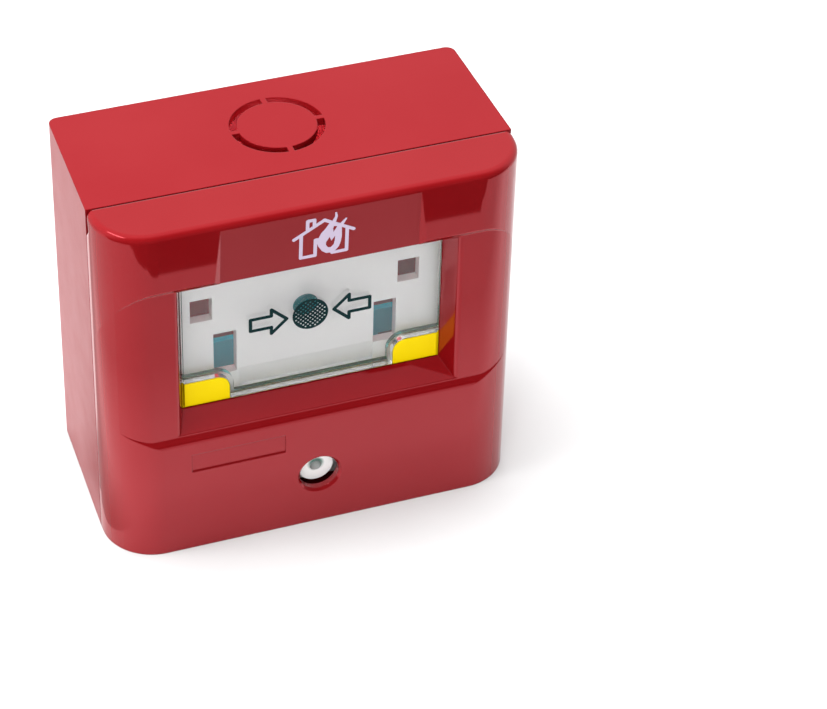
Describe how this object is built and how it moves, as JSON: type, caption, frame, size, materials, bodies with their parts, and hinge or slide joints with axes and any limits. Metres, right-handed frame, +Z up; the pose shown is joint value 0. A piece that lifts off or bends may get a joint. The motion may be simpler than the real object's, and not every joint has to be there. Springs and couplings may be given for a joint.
{
  "type": "manual call point",
  "caption": "Wall-mounted resettable manual call point: box with hinged cover, a window over a clear press element, a reset key hole and cable knockouts.",
  "frame": {"origin": "centre of the box's rear face, in the plane of the wall", "axes": "+X to the right seen from the front, +Y into the wall, +Z up"},
  "size_m": [0.098, 0.05, 0.092],
  "materials": {
    "case_red": "fine satin moulding",
    "cover_red": "semi-gloss moulding",
    "print_white": "printed",
    "white_plastic": "satin moulding",
    "yellow_plastic": "semi-gloss moulding",
    "clear_plastic": "clear moulding",
    "print_teal": "printed",
    "steel": "plated",
    "guide_teal": "tinted clear moulding",
    "led_red": "tinted lens",
    "board": "solder mask",
    "black_plastic": "moulding",
    "terminal_plastic": "moulding",
    "component": "coated",
    "grommet_rubber": "soft"
  },
  "bodies": {
    "case": {"back_box": "case_red", "mechanism_plate": "white_plastic", "pivot_brackets": "white_plastic", "latch_guides": "white_plastic", "slider_rails": "white_plastic", "board_spacers": "white_plastic", "plunger_guide": "white_plastic", "element_pivot_pins": "steel", "element_springs": "steel", "light_guide": "guide_teal", "alarm_led": "led_red", "circuit_board": "board", "board_screws": "steel", "mechanism_screws": "steel", "micro_switch": "black_plastic", "lever_pin": "steel", "reset_spring": "steel", "latch_springs": "steel", "terminal_blocks": "terminal_plastic", "terminal_screws": "steel", "address_switch": "led_red", "board_capacitor": "black_plastic", "board_resistors": "component", "cover_hinge_pins": "steel", "cable_grommet": "grommet_rubber"},
    "cover": {"front_cover": "cover_red", "pictogram": "print_white"},
    "press_element": {"element_carrier": "yellow_plastic", "clear_element": "clear_plastic", "operating_symbol": "print_teal"},
    "switch_arm": {"switch_lever": "steel"},
    "plunger": {"reset_plunger": "white_plastic"},
    "catch_slider": {"latch_slider": "white_plastic"},
    "latch_left": {"release_latch_left": "white_plastic"},
    "latch_right": {"release_latch_right": "white_plastic"}
  },
  "joints": [
    {"name": "cover_hinge", "type": "hinge", "parent": "case", "child": "cover", "pos_m": [0, -0.0312, 0.0412], "axis": [-1, 0, 0], "range_deg": [0, 40]},
    {"name": "element_press", "type": "hinge", "parent": "case", "child": "press_element", "pos_m": [0, -0.042, 0.031], "axis": [1, 0, 0], "range_deg": [0, 2.5], "stiffness_Nm_per_rad": 3, "deforming": ["element_springs"]},
    {"name": "switch_lever_turn", "type": "hinge", "parent": "case", "child": "switch_arm", "pos_m": [0, -0.0327, -0.025], "axis": [-1, 0, 0], "range_deg": [0, 7]},
    {"name": "reset_push", "type": "slide", "parent": "case", "child": "plunger", "axis": [0, 1, 0], "range_m": [0, 0.003], "stiffness_N_per_m": 300, "deforming": ["reset_spring"]},
    {"name": "catch_lift", "type": "slide", "parent": "case", "child": "catch_slider", "axis": [0, 0, 1], "range_m": [0, 0.00127]},
    {"name": "latch_left_lift", "type": "slide", "parent": "case", "child": "latch_left", "axis": [0, 0, 1], "range_m": [0, 0.0015], "stiffness_N_per_m": 200, "deforming": ["latch_springs"]},
    {"name": "latch_right_lift", "type": "slide", "parent": "case", "child": "latch_right", "axis": [0, 0, 1], "range_m": [0, 0.0015], "stiffness_N_per_m": 200, "deforming": ["latch_springs"]}
  ],
  "couplings": [
    {"joint": "switch_lever_turn", "follows": "element_press", "ratio": 2.8},
    {"joint": "catch_lift", "follows": "reset_push", "ratio": 0.4222}
  ]
}
